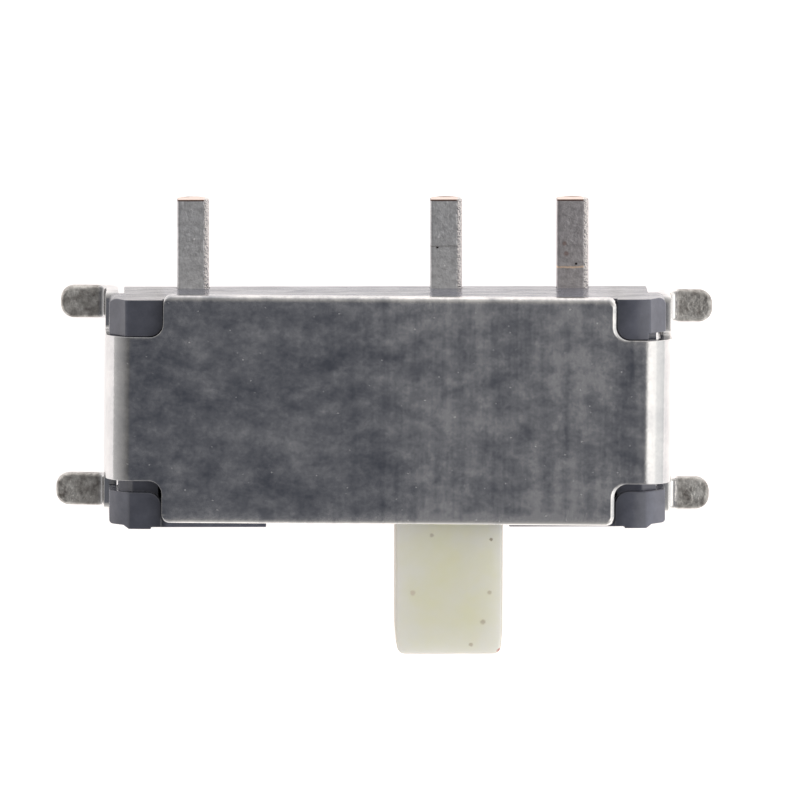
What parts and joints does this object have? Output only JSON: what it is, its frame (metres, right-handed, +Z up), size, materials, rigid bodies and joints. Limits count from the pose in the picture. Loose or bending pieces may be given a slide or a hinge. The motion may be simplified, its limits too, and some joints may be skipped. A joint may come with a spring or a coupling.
{
  "type": "slide switch",
  "caption": "Flat side-operated slide switch with a folded metal cover, flat solder terminals along the back edge, end solder feet and a sliding ivory knob.",
  "frame": {"origin": "middle of the housing's underside, which is the seating plane on the circuit board", "axes": "+X right along the body, in line with the knob's travel; +Y back, towards the terminals; +Z up from the board. The knob points to -Y and is drawn at its right-hand stop"},
  "size_m": [0.0078, 0.0053, 0.0018],
  "materials": {
    "black_plastic": "moulded, glossy",
    "plated_steel": "bright plated sheet, finely mottled and streaked",
    "ivory_plastic": "moulded, satin, slightly translucent",
    "tinned_copper": "tin-plated strip with bare copper cut ends",
    "spring_bronze": "rolled phosphor bronze, silver-plated"
  },
  "bodies": {
    "base": {"housing": "black_plastic", "cover": "plated_steel", "terminal_left": "tinned_copper", "terminal_common": "tinned_copper", "terminal_right": "tinned_copper"},
    "actuator": {"slider": "ivory_plastic", "moving_contact": "spring_bronze"}
  },
  "joints": [
    {"name": "knob_slide", "type": "slide", "parent": "base", "child": "actuator", "axis": [1, 0, 0], "range_m": [-0.0015, 0]}
  ]
}
